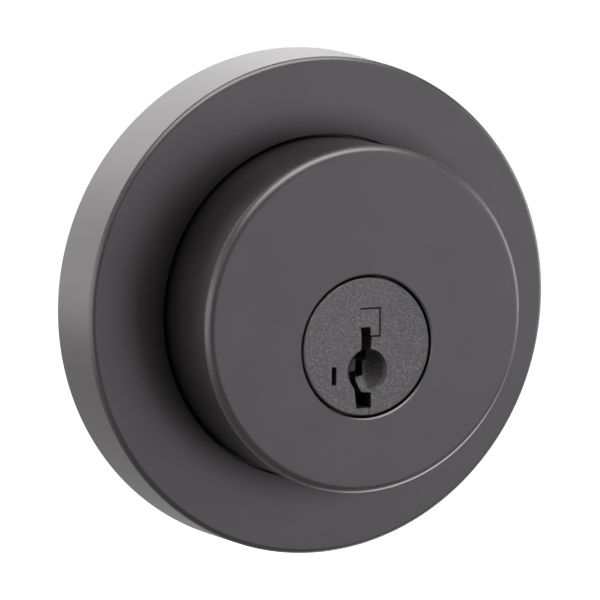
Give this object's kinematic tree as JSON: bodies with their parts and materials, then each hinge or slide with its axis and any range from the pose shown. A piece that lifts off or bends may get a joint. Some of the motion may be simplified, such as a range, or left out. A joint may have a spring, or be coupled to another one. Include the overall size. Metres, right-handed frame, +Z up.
{
  "type": "deadbolt lock outside half",
  "caption": "Round keyed outside half of a deadbolt: tapered rose, drum, off-centre turning plug with lifting pins and racks, fixing posts and a half-round tailpiece.",
  "frame": {"origin": "where the plug's axis, which is also the door bore's axis, meets the door's outside face", "axes": "+Y into the door along the plug's axis, +Z up, +X to the right seen from outside"},
  "size_m": [0.07, 0.0721, 0.07],
  "materials": {
    "trim_coat": "satin dark grey coat, fine grained",
    "plug_coat": "coarse glittering dark grey coat",
    "gasket_rubber": "matte",
    "hard_steel": "hardened and ground",
    "plate_steel": "zinc plated",
    "screw_steel": "zinc plated",
    "spring_steel": "bright wire",
    "cast_zinc": "die cast",
    "ring_plastic": "moulded",
    "pin_brass": "turned"
  },
  "bodies": {
    "housing_body": {"rose": "trim_coat", "housing": "trim_coat", "drill_guard": "hard_steel", "door_gasket": "gasket_rubber", "retaining_plate": "plate_steel", "housing_screws": "screw_steel", "cylinder_screws": "screw_steel", "fixing_post_left": "plate_steel", "fixing_post_right": "plate_steel", "bore_spigot": "ring_plastic", "cylinder_body": "cast_zinc", "drill_pins": "hard_steel"},
    "plug_body": {"plug": "plug_coat", "face_insert": "plug_coat", "spring_cover": "spring_steel", "plug_cap": "cast_zinc", "driver_pin": "hard_steel", "sidebar": "hard_steel", "sidebar_springs": "spring_steel", "carriage_springs": "spring_steel", "pin_spring_1": "spring_steel", "pin_spring_2": "spring_steel", "pin_spring_3": "spring_steel", "pin_spring_4": "spring_steel", "pin_spring_5": "spring_steel"},
    "carriage_body": {"carriage": "cast_zinc"},
    "tailpiece_body": {"tailpiece": "plate_steel"},
    "pin_body_1": {"pin_1": "pin_brass"},
    "rack_body_1": {"rack_1": "plate_steel"},
    "pin_body_2": {"pin_2": "pin_brass"},
    "rack_body_2": {"rack_2": "plate_steel"},
    "pin_body_3": {"pin_3": "pin_brass"},
    "rack_body_3": {"rack_3": "plate_steel"},
    "pin_body_4": {"pin_4": "pin_brass"},
    "rack_body_4": {"rack_4": "plate_steel"},
    "pin_body_5": {"pin_5": "pin_brass"},
    "rack_body_5": {"rack_5": "plate_steel"}
  },
  "joints": [
    {"name": "plug_turn", "type": "hinge", "parent": "housing_body", "child": "plug_body", "pos_m": [0, 0, 0], "axis": [0, 1, 0], "range_deg": [-90, 90]},
    {"name": "tailpiece_turn", "type": "hinge", "parent": "plug_body", "child": "tailpiece_body", "pos_m": [0, 0, 0], "axis": [0, 1, 0], "range_deg": [-90, 90]},
    {"name": "carriage_slide", "type": "slide", "parent": "plug_body", "child": "carriage_body", "axis": [0, 1, 0], "range_m": [0, 0.0016], "stiffness_N_per_m": 600, "springref_m": -0.0015, "deforming": ["carriage_springs"]},
    {"name": "pin_1_lift", "type": "slide", "parent": "plug_body", "child": "pin_body_1", "axis": [0, 0, 1], "range_m": [0, 0.0036], "stiffness_N_per_m": 60, "springref_m": -0.002, "deforming": ["pin_spring_1"]},
    {"name": "pin_2_lift", "type": "slide", "parent": "plug_body", "child": "pin_body_2", "axis": [0, 0, 1], "range_m": [0, 0.0036], "stiffness_N_per_m": 60, "springref_m": -0.002, "deforming": ["pin_spring_2"]},
    {"name": "pin_3_lift", "type": "slide", "parent": "plug_body", "child": "pin_body_3", "axis": [0, 0, 1], "range_m": [0, 0.0036], "stiffness_N_per_m": 60, "springref_m": -0.002, "deforming": ["pin_spring_3"]},
    {"name": "pin_4_lift", "type": "slide", "parent": "plug_body", "child": "pin_body_4", "axis": [0, 0, 1], "range_m": [0, 0.0036], "stiffness_N_per_m": 60, "springref_m": -0.002, "deforming": ["pin_spring_4"]},
    {"name": "pin_5_lift", "type": "slide", "parent": "plug_body", "child": "pin_body_5", "axis": [0, 0, 1], "range_m": [0, 0.0036], "stiffness_N_per_m": 60, "springref_m": -0.002, "deforming": ["pin_spring_5"]},
    {"name": "rack_1_lift", "type": "slide", "parent": "carriage_body", "child": "rack_body_1", "axis": [0, 0, 1], "range_m": [0, 0.0036]},
    {"name": "rack_2_lift", "type": "slide", "parent": "carriage_body", "child": "rack_body_2", "axis": [0, 0, 1], "range_m": [0, 0.0036]},
    {"name": "rack_3_lift", "type": "slide", "parent": "carriage_body", "child": "rack_body_3", "axis": [0, 0, 1], "range_m": [0, 0.0036]},
    {"name": "rack_4_lift", "type": "slide", "parent": "carriage_body", "child": "rack_body_4", "axis": [0, 0, 1], "range_m": [0, 0.0036]},
    {"name": "rack_5_lift", "type": "slide", "parent": "carriage_body", "child": "rack_body_5", "axis": [0, 0, 1], "range_m": [0, 0.0036]}
  ],
  "couplings": [
    {"joint": "rack_1_lift", "follows": "pin_1_lift", "ratio": 1},
    {"joint": "rack_2_lift", "follows": "pin_2_lift", "ratio": 1},
    {"joint": "rack_3_lift", "follows": "pin_3_lift", "ratio": 1},
    {"joint": "rack_4_lift", "follows": "pin_4_lift", "ratio": 1},
    {"joint": "rack_5_lift", "follows": "pin_5_lift", "ratio": 1}
  ]
}
